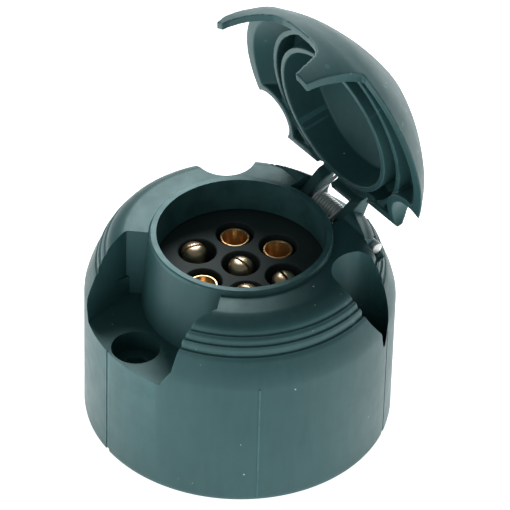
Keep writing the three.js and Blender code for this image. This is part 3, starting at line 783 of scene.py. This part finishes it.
class SOCKET_OT_housing(bpy.types.Operator):
    """Builds the drum with its collar, stepped shoulder, screw recesses and hinge knuckles"""

    bl_idname = "socket.housing"
    bl_label = "Housing"

    def execute(self, context):
        size = context.scene.socket_housing
        radius, deck = size.drum_radius / MM, size.deck_height / MM
        rim, collar, bore = size.rim_height / MM, size.collar_radius / MM, size.bore_radius / MM
        body = lathe(
            "socket_housing",
            [
                (0, 0),
                *shoulder_profile(radius, size.drum_top / MM, deck),
                (collar + 0.35, deck),
                (collar + 0.2, deck + 0.12),
                (collar, rim - 0.32),
                (collar - 0.08, rim - 0.12),
                (collar - 0.24, rim),
                (0, rim),
            ],
            216,
        )
        knuckles = hinge_knuckles(7.7, 16.8)
        round_room = [(0, 33), (29, 33), (29, 41.2), (28.2, 42.8)]
        round_room += [(27.1, 43.8), (26, 44.9), (25.1, 45.6), (0, 46)]
        for knuckle in knuckles:
            keep(knuckle, lathe("room", round_room, 216), block("room", (-33, 19.4, 33), (33, 29, 47)))
        strip = placed(block("witness_strip", (32, -0.2, 0.6), (33.3, 0.2, 30.8)), turn=330)
        add(body, *knuckles, strip)
        cut(body, drum_hollow(size))

        recess = prism("recess", both_halves(recess_half(size)), size.recess_floor / MM, 48)
        cut(recess, barrel_outside(size), *recess_fillets())
        pocket = block("hinge_pocket", (-7.7, bore, 37.2), (7.7, 37, 49))
        cut(pocket, barrel_outside(size))
        cut(body, recess, pocket, *pin_notches(collar + 1.4))
        places = screw_places(size)
        cut(body, rod("seat", 5.2, 23, 29, places[0], sides=64), *[scoop_tool(p) for p in places[1:]])
        cut(body, *[rod("screw_hole", 2.75, -1, 24, place, sides=48) for place in places])
        cut(body, *[rod("pilot", 1.6, 19, 29, polar(23.6, a), sides=32) for a in (90, 210, 330)])
        cut(body, rod("pin_hole", PIN_HOLE, -33, 33, HINGE_AXIS, "X", 40))
        for angle in (265.5, 33, 147):
            notch = placed(block("notch", (31.4, -0.8, -1.2), (35, 0.8, 1.2)), turn=angle)
            groove = placed(block("groove", (32.9, -0.2, -1), (35, 0.2, 29)), turn=angle)
            cut(body, notch, groove)
        smooth(body, 32)
        plastic = bpy.data.materials["housing_plastic"]
        finish(body, plastic, "moulded_plastic", "socket", "housing")
        return {"FINISHED"}


# ---- contacts -------------------------------------------------------------------------------


# angle on the contact circle (None in the middle), whether a sleeve, the slot's turn, the tip's height
# over the insert's face and how far the pin stands outwards in its well
CONTACTS = {
    "pin_1": (30, False, -8, 0.2, 0.0),
    "pin_2": (210, False, 75, 1.2, 0.8),
    "pin_3": (330, False, 35, 1.5, 0.0),
    "pin_4": (None, False, 10, 0.8, 0.0),
    "sleeve_1": (90, True, 0, -0.9, 0.0),
    "sleeve_2": (150, True, 0, -0.9, 0.0),
    "sleeve_3": (270, True, 0, -0.9, 0.0),
}


def contact_place(size, angle, out=0.0):
    return (0.0, 0.0) if angle is None else polar(size.circle / MM + out, angle)


class SOCKET_OT_insert(bpy.types.Operator):
    """Builds the contact insert and the plate that holds the contacts in it"""

    bl_idname = "socket.insert"
    bl_label = "Contact insert"

    def execute(self, context):
        size = context.scene.socket_contacts
        face = size.insert_face / MM
        insert = lathe(
            "contact_insert",
            [
                (0, 23),
                (18.5, 23),
                (18.7, 23.2),
                (18.7, face - 0.25),
                (18.55, face - 0.07),
                (18.4, face),
                (0, face),
            ],
            128,
        )
        plate = lathe(
            "insert_back_plate",
            [
                (0, 17.2),
                (21.6, 17.2),
                (21.8, 17.4),
                (21.8, 19.5),
                (21.6, 19.7),
                (18.7, 19.7),
                (18.7, 22.5),
                (18.5, 22.7),
                (0, 22.7),
            ],
            128,
        )
        add(plate, *[rod("ear", 3.2, 17.2, 19.7, polar(23.6, angle)) for angle in (90, 210, 330)])
        cut(plate, *[rod("hole", 1.6, 16, 24, polar(23.6, angle), sides=32) for angle in (90, 210, 330)])
        for angle, sleeve, _, _, out in CONTACTS.values():
            place = contact_place(size, angle, out)
            neck = (size.sleeve_radius if sleeve else size.pin_radius) / MM + 0.3
            outline = [(0, 22), (4, 22), (4, 26), (neck, 26), (neck, 29.5), (0, 29.5)]
            cut(insert, lathe("neck", outline, 56, place))
            well = lathe(
                "well",
                [
                    (0, 29),
                    (size.hole_radius / MM, 29),
                    (size.hole_radius / MM, face - 0.2),
                    (size.hole_radius / MM + 0.22, face + 0.02),
                    (size.hole_radius / MM + 0.22, face + 1),
                    (0, face + 1),
                ],
                56,
                contact_place(size, angle),
            )
            cut(insert, well)
            cut(plate, rod("neck_hole", 3.1, 16, 24, place, sides=40))
        plastic = bpy.data.materials["insert_plastic"]
        finish(smooth(insert), plastic, "insert_plastic", "socket", "contact_carrier")
        finish(smooth(plate), plastic, "insert_plastic", "socket", "contact_retainer")
        return {"FINISHED"}


def contact_body(size, sleeve, tip):
    """One turned contact on its own axis: terminal, neck, collar and tip."""
    outer = (size.sleeve_radius if sleeve else size.pin_radius) / MM
    if sleeve:
        bore = size.sleeve_bore / MM
        head = [
            (outer, tip - 0.35),
            (outer - 0.07, tip - 0.12),
            (outer - 0.2, tip),
            (bore + 0.16, tip),
            (bore, tip - 0.2),
            (bore, tip - 11.7),
            (bore * 0.7, tip - 12),
            (0, tip - 12),
        ]
    else:
        head = [
            (outer, tip - 1.7),
            (outer * 0.985, tip - 1.3),
            (outer * 0.92, tip - 0.9),
            (outer * 0.81, tip - 0.55),
            (outer * 0.66, tip - 0.3),
            (outer * 0.48, tip - 0.13),
            (outer * 0.25, tip - 0.03),
            (0, tip),
        ]
    profile = [
        (0, 12),
        (1.7, 12),
        (1.7, 7.2),
        (1.9, 7),
        (3, 7),
        (3.2, 7.2),
        (3.2, 16.7),
        (3.0, 16.9),
        (2.8, 16.9),
        (2.8, 23),
        (3.55, 23),
        (3.7, 23.15),
        (3.7, 25.55),
        (3.55, 25.7),
        (outer, 25.7),
        *head,
    ]
    return lathe("contact", profile, 56)


class SOCKET_OT_contacts(bpy.types.Operator):
    """Builds the split pins and the sleeves, with a clamping screw in each one's terminal"""

    bl_idname = "socket.contacts"
    bl_label = "Contacts"

    def execute(self, context):
        size = context.scene.socket_contacts
        screw = self.clamp_screw()
        for index, (node, (angle, sleeve, slot, height, out)) in enumerate(CONTACTS.items(), 1):
            x, y = contact_place(size, angle, out)
            turn = angle or 0
            tip = size.insert_face / MM + height
            contact = contact_body(size, sleeve, tip)
            contact.name = ("female_sleeve" if sleeve else "male_pin") + node[-2:]
            contact.data.name = contact.name
            if not sleeve:
                cut(contact, placed(block("slot", (-4, -0.3, tip - 5), (4, 0.3, tip + 1)), turn=slot))
            cut(contact, placed(rod("screw_hole", 1.5, 0, 4.2, (0, 9.6), "X", 24), turn=turn))
            round_edges(contact, 0.06, 40, 2)
            smooth(contact, 40)
            placed(contact, x, y)
            if sleeve:
                self.mark_bore(contact, x, y, size.sleeve_bore / MM, tip)
            kind = "sleeve_brass" if sleeve else "pin_brass"
            finish(contact, bpy.data.materials[kind], kind, "socket", node)
            clamp = placed(copy(screw, f"terminal_clamp_screw_{index}"), x, y, 9.6, turn)
            steel = bpy.data.materials["plated_steel"]
            finish(clamp, steel, "screw_steel", "socket", f"terminal_screw_{index}")
        bpy.data.objects.remove(screw)
        return {"FINISHED"}

    @staticmethod
    def clamp_screw():
        """A small slotted screw along X, modelled once."""
        screw = lathe(
            "clamp_screw",
            [
                (0, 1.8),
                (1.05, 1.8),
                (1.2, 1.95),
                (1.2, 3.7),
                (1.85, 3.7),
                (2, 3.85),
                (2, 4.8),
                (1.7, 5.1),
                (0, 5.1),
            ],
            32,
        )
        cut(screw, block("slot", (-3, -0.25, 4.6), (3, 0.25, 6)))
        screw.rotation_euler = (0, math.pi / 2, 0)
        settle(screw)
        return smooth(screw, 40)

    @staticmethod
    def mark_bore(contact, x, y, bore, tip):
        """Marks the vertices inside a sleeve's bore, for its copper colour."""
        mark = contact.data.attributes.new("bore", "FLOAT", "POINT")
        for vertex in contact.data.vertices:
            away = math.hypot(vertex.co.x - x * MM, vertex.co.y - y * MM)
            inside = away < (bore + 0.02) * MM and vertex.co.z > (tip - 13) * MM
            mark.data[vertex.index].value = 1.0 if inside else 0.0


class SOCKET_OT_plate_screws(bpy.types.Operator):
    """Builds the three screws that fasten the back plate"""

    bl_idname = "socket.plate_screws"
    bl_label = "Back plate screws"

    def execute(self, context):
        profile = [(0, 15.3), (2.1, 15.3), (2.5, 15.8), (2.5, 16.9), (1.3, 16.9), (1.3, 26.5), (0, 27.5)]
        screw = lathe("plate_screw", profile, 40)
        along = block("slot", (-1.6, -0.3, 14.9), (1.6, 0.3, 16.1))
        across = block("slot", (-0.3, -1.6, 14.9), (0.3, 1.6, 16.1))
        cut(screw, along, across)
        smooth(screw, 40)
        for index, angle in enumerate((90, 210, 330), 1):
            piece = placed(copy(screw, f"back_plate_screw_{index}"), *polar(23.6, angle))
            steel = bpy.data.materials["plated_steel"]
            finish(piece, steel, "screw_steel", "socket", f"retainer_screw_{index}")
        bpy.data.objects.remove(screw)
        return {"FINISHED"}


# ---- hinge ----------------------------------------------------------------------------------


class SOCKET_OT_hinge(bpy.types.Operator):
    """Builds the hinge pin and the torsion spring round it"""

    bl_idname = "socket.hinge"
    bl_label = "Hinge pin and spring"

    def execute(self, context):
        size = context.scene.socket_cover
        steel = bpy.data.materials["plated_steel"]
        pin = rod("hinge_pin_rod", 1.3, -16.6, 16.6, (size.hinge_y / MM, size.hinge_z / MM), "X", 40)
        round_edges(pin, 0.25, 40, 3)
        finish(smooth(pin, 40), steel, "pin_steel", "socket", "hinge_pin")
        spring = self.spring(size)
        finish(smooth(spring, 60), steel, "spring_steel", "socket", "torsion_spring")
        self.bend_with_cover(spring, size)
        return {"FINISHED"}

    @staticmethod
    def spring(size):
        """A close coil along X with a straight leg at each end."""
        wire, coil, turns, half = 0.36, 2.05, 9, 3.68
        lid_leg, body_leg = 9.8, 2.6
        start = math.radians(115)
        cosine, sine = math.cos(start), math.sin(start)
        points = []
        for k in range(9):
            out = lid_leg * (1 - k / 8)
            points.append((-half, coil * cosine + out * sine, coil * sine - out * cosine))
        steps = 30 * turns
        for k in range(1, steps + 1):
            share = k / steps
            angle = start + FULL_TURN * turns * share
            points.append((-half + 2 * half * share, coil * math.cos(angle), coil * math.sin(angle)))
        for k in range(1, 4):
            out = body_leg * k / 3
            points.append((half, coil * cosine - out * sine, coil * sine + out * cosine))
        curve = bpy.data.curves.new("lid_spring", "CURVE")
        curve.dimensions = "3D"
        spline = curve.splines.new("POLY")
        spline.points.add(len(points) - 1)
        for point, (x, y, z) in zip(spline.points, points):
            point.co = (x * MM, y * MM + size.hinge_y, z * MM + size.hinge_z, 1)
        curve.bevel_depth = wire * MM
        curve.bevel_resolution = 3
        curve.use_fill_caps = True
        spring = bpy.data.objects.new("lid_spring", curve)
        bpy.context.scene.collection.objects.link(spring)
        pick(spring)
        bpy.ops.object.convert(target="MESH")
        return clean(bpy.context.object, 0.001)

    @staticmethod
    def bend_with_cover(spring, size):
        """Takes the spring off the socket's body and moves its place into its mesh."""
        spring.parent = None
        del spring["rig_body"]
        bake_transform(spring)


# ---- cover ----------------------------------------------------------------------------------


def smooth_line(points, steps):
    """Points along a smooth curve through the given ones."""
    points = [Vector(p) for p in points]
    padded = [2 * points[0] - points[1], *points, 2 * points[-1] - points[-2]]
    out = []
    for k in range(len(points) - 1):
        a, b, c, d = padded[k : k + 4]
        for j in range(steps):
            t = j / steps
            out.append(
                0.5
                * (2 * b + (c - a) * t + (2 * a - 5 * b + 4 * c - d) * t**2 + (3 * b - a - 3 * c + d) * t**3)
            )
    return out + [points[-1]]


def cover_outline(inset):
    """Half outline of the closed cover in its plane of symmetry, moved inwards by inset."""
    edge = 33.2
    points = smooth_line(
        [
            (edge - 0.1, VISOR_LOW),
            (edge - 1.2, 35),
            (edge - 3.1, 39.8),
            (edge - 5.3, 43.2),
            (edge - 7.6, 46),
            (23.2, 48.8),
            (20.3, 51.4),
            (15.3, 54.9),
            (9.7, 58),
            (4.6, 60.3),
            (0, 61.3),
        ],
        3,
    )
    moved = []
    for k, point in enumerate(points):
        ahead = points[min(k + 1, len(points) - 1)] - points[max(k - 1, 0)]
        side = Vector((-ahead.y, ahead.x)).normalized()
        moved.append(point + side * inset)
    moved[-1].x = 0
    return moved


def dome(name, inset, low, steps=160):
    """The cover's domed solid, widened sideways above its visor."""
    outline = cover_outline(inset)
    piece = lathe(name, [(0, low), (outline[0].x, low), *[tuple(p) for p in outline]], steps)
    for vertex in piece.data.vertices:
        share = min(1.0, max(0.0, (vertex.co.z / MM - 38) / 7.4))
        vertex.co.x *= 1 + 0.14 * share * share * (3 - 2 * share)
    return piece


def cover_ears(size):
    """Two ears from the flat back down to the hinge pin."""
    y, z = size.hinge_y / MM, size.hinge_z / MM
    angles = [math.radians(-140 + i * 12) for i in range(18)]
    outline = [(y + EAR_RADIUS * math.cos(a), z + EAR_RADIUS * math.sin(a)) for a in angles]
    outline += [(18.2, 48.6), (16.6, 48.6), (16.6, 45.7), (18.2, 45.7)]
    return [prism("ear", outline, min(4.7 * s, 7.3 * s), max(4.7 * s, 7.3 * s), "X") for s in (-1, 1)]


class SOCKET_OT_cover(bpy.types.Operator):
    """Builds the domed cover with its visor, flutes, sealing rib and ears, and opens it"""

    bl_idname = "socket.cover"
    bl_label = "Cover"

    def execute(self, context):
        size = context.scene.socket_cover
        wall, skirt, back = size.wall / MM, size.skirt / MM, size.back / MM
        cavity = dome("cavity", wall, VISOR_LOW - 1)
        flutes = [(-23.8, 14.65), (23.8, 14.65)]
        cut(cavity, block("back_inner", (-WIDE, back - wall, 0), (WIDE, WIDE, 90)))
        cut(cavity, *[rod("flute_wall", 5.9 + wall, 20, 70, place, sides=72) for place in flutes])
        cover = dome("hinged_cover", 0, VISOR_LOW)
        cut(cover, block("back", (-WIDE, back, 0), (WIDE, WIDE, 90)))
        cut(cover, *[rod("flute", 5.9, 20, 70, place, sides=72) for place in flutes], cavity)

        below = block("below", (-WIDE, -WIDE, 0), (WIDE, WIDE, skirt))
        cut(below, block("visor_room", (-14.2, -WIDE, -1), (14.2, -19, skirt + 1)))
        half_arch = [(11.2, 20), (11.2, 30.9), (10.6, 33), (9.8, 35.4)]
        half_arch += [(8.7, 37.8), (7.2, 39.4), (5.2, 40.2), (2.6, 40.4)]
        arch = prism("arch", both_halves(half_arch), -WIDE, -18, "Y")
        slant = prism("slant", [(-15.2, 27), (15.2, 27), (15.2, 31.5), (-15.2, VISOR_LOW)], -WIDE, -18, "Y")
        cut(cover, below, arch, slant)

        inside = dome("inside", wall / 2, VISOR_LOW)
        rib = ring("rib", 17.4, 16.2, 45.3, 61.3)
        outer_ring = ring("outer_ring", 21.2, 20.0, 46.3, 61.3)
        cut(outer_ring, block("back_wall", (-WIDE, back - wall / 2, 0), (WIDE, WIDE, 90)))
        keep(rib, copy(inside, "inside_rib"))
        keep(outer_ring, inside)
        web = [(17.5, 48.6), (17.5, 46.6), (20, 46.6), (20, 44.6), (21.4, 44.6), (21.5, 45.6), (20.3, 48.6)]
        hood = prism("hood", web, -3, 5.7, "X")
        add(cover, rib, outer_ring, hood, *cover_ears(size))
        cut(cover, rod("pin_hole", PIN_HOLE, -9, 9, HINGE_AXIS, "X", 40))
        cut(cover, ring("collar_room", 20.0, 17.6, 37.2, 46.35), *recess_fillets(0.3))

        melt(cover, 0.24, 2, 0.34)
        self.open(cover, size)
        smooth(cover, 60)
        plastic = bpy.data.materials["housing_plastic"]
        finish(cover, plastic, "moulded_plastic", "cover", "lid")
        return {"FINISHED"}

    @staticmethod
    def open(cover, size):
        hinge = Vector((0, size.hinge_y, size.hinge_z))
        turn = Matrix.Rotation(-size.open_angle, 4, "X")
        cover.matrix_world = Matrix.Translation(hinge) @ turn @ Matrix.Translation(-hinge)
        settle(cover)


# ---- stage ----------------------------------------------------------------------------------


class SOCKET_OT_stage(bpy.types.Operator):
    """Makes the floor, the studio lights and the camera"""

    bl_idname = "socket.stage"
    bl_label = "Stage"

    def execute(self, context):
        self.floor(context)
        self.lights(context)
        self.camera(context)
        return {"FINISHED"}

    @staticmethod
    def floor(context):
        deselect()
        bpy.ops.mesh.primitive_plane_add(size=8)
        floor = name_it("studio_floor")
        floor.data.materials.append(floor_finish(tuple(context.scene.socket_finishes.floor)))

    @staticmethod
    def lights(context):
        world = bpy.data.worlds.new("studio")
        world.use_nodes = True
        sky = world.node_tree.nodes["Background"]
        sky.inputs["Color"].default_value = (0.95, 0.98, 1.0, 1)
        sky.inputs["Strength"].default_value = 0.14
        context.scene.world = world
        context.scene.view_settings.view_transform = "Standard"
        lamps = (
            ("key_softbox", (-0.85, 0.75, 1.00), 0.9, 17.0),
            ("side_softbox", (0.30, -1.20, 0.30), 0.7, 1.8),
        )
        for name, place, width, power in lamps:
            deselect()
            bpy.ops.object.light_add(type="AREA", location=place)
            lamp = bpy.context.object
            lamp.name = name
            lamp.data.shape = "DISK"
            lamp.data.size = width
            lamp.data.energy = power
            lamp.rotation_euler = (Vector((0, 0, 0.03)) - Vector(place)).to_track_quat("-Z", "Y").to_euler()

    @staticmethod
    def camera(context):
        """A long lens, turned 51.7 degrees and looking down 39.4 degrees."""
        turn, drop, roll = math.radians(51.68), math.radians(39.35), math.radians(1.58)
        right = Vector((math.cos(turn), math.sin(turn), 0))
        ahead = Vector((-math.sin(turn) * math.cos(drop), math.cos(turn) * math.cos(drop), -math.sin(drop)))
        up = right.cross(ahead)
        target = right * 2.97 * MM + Vector((0, 0, 40.08 * MM))
        tilted = right * math.cos(roll) + up * math.sin(roll)
        level = up * math.cos(roll) - right * math.sin(roll)
        data = bpy.data.cameras.new("camera")
        data.sensor_width = 36
        data.lens = 326.2
        camera = bpy.data.objects.new("camera", data)
        context.scene.collection.objects.link(camera)
        facing = Matrix((tilted, level, -ahead)).transposed().to_4x4()
        camera.matrix_world = Matrix.Translation(target - ahead * CAMERA_DISTANCE) @ facing
        context.scene.camera = camera


# ---- add-on ---------------------------------------------------------------------------------


PROPERTY_GROUPS = {
    "socket_housing": SocketHousingSizes,
    "socket_contacts": SocketContactSizes,
    "socket_cover": SocketCoverSizes,
    "socket_finishes": SocketFinishes,
}
OPERATORS = (
    SOCKET_OT_finishes,
    SOCKET_OT_stage,
    SOCKET_OT_housing,
    SOCKET_OT_insert,
    SOCKET_OT_contacts,
    SOCKET_OT_plate_screws,
    SOCKET_OT_hinge,
    SOCKET_OT_cover,
)


class SOCKET_PT_pieces(bpy.types.Panel):
    """Lists the sizes, the finishes and a button for each piece"""

    bl_idname = "SOCKET_PT_pieces"
    bl_label = "Trailer Socket"
    bl_space_type = "VIEW_3D"
    bl_region_type = "UI"
    bl_category = "Trailer Socket"

    def draw(self, context):
        for name in PROPERTY_GROUPS:
            box = self.layout.box()
            group = getattr(context.scene, name)
            for key in group.__annotations__:
                box.prop(group, key)
        for operator in OPERATORS:
            self.layout.operator(operator.bl_idname)


def register():
    for cls in (*PROPERTY_GROUPS.values(), *OPERATORS, SOCKET_PT_pieces):
        bpy.utils.register_class(cls)
    for name, cls in PROPERTY_GROUPS.items():
        setattr(bpy.types.Scene, name, bpy.props.PointerProperty(type=cls))


def unregister():
    for name in PROPERTY_GROUPS:
        delattr(bpy.types.Scene, name)
    for cls in (SOCKET_PT_pieces, *reversed(OPERATORS), *PROPERTY_GROUPS.values()):
        bpy.utils.unregister_class(cls)


def main():
    register()
    for operator in OPERATORS:
        getattr(bpy.ops.socket, operator.bl_idname.split(".")[1])()


if __name__ == "__main__":
    main()
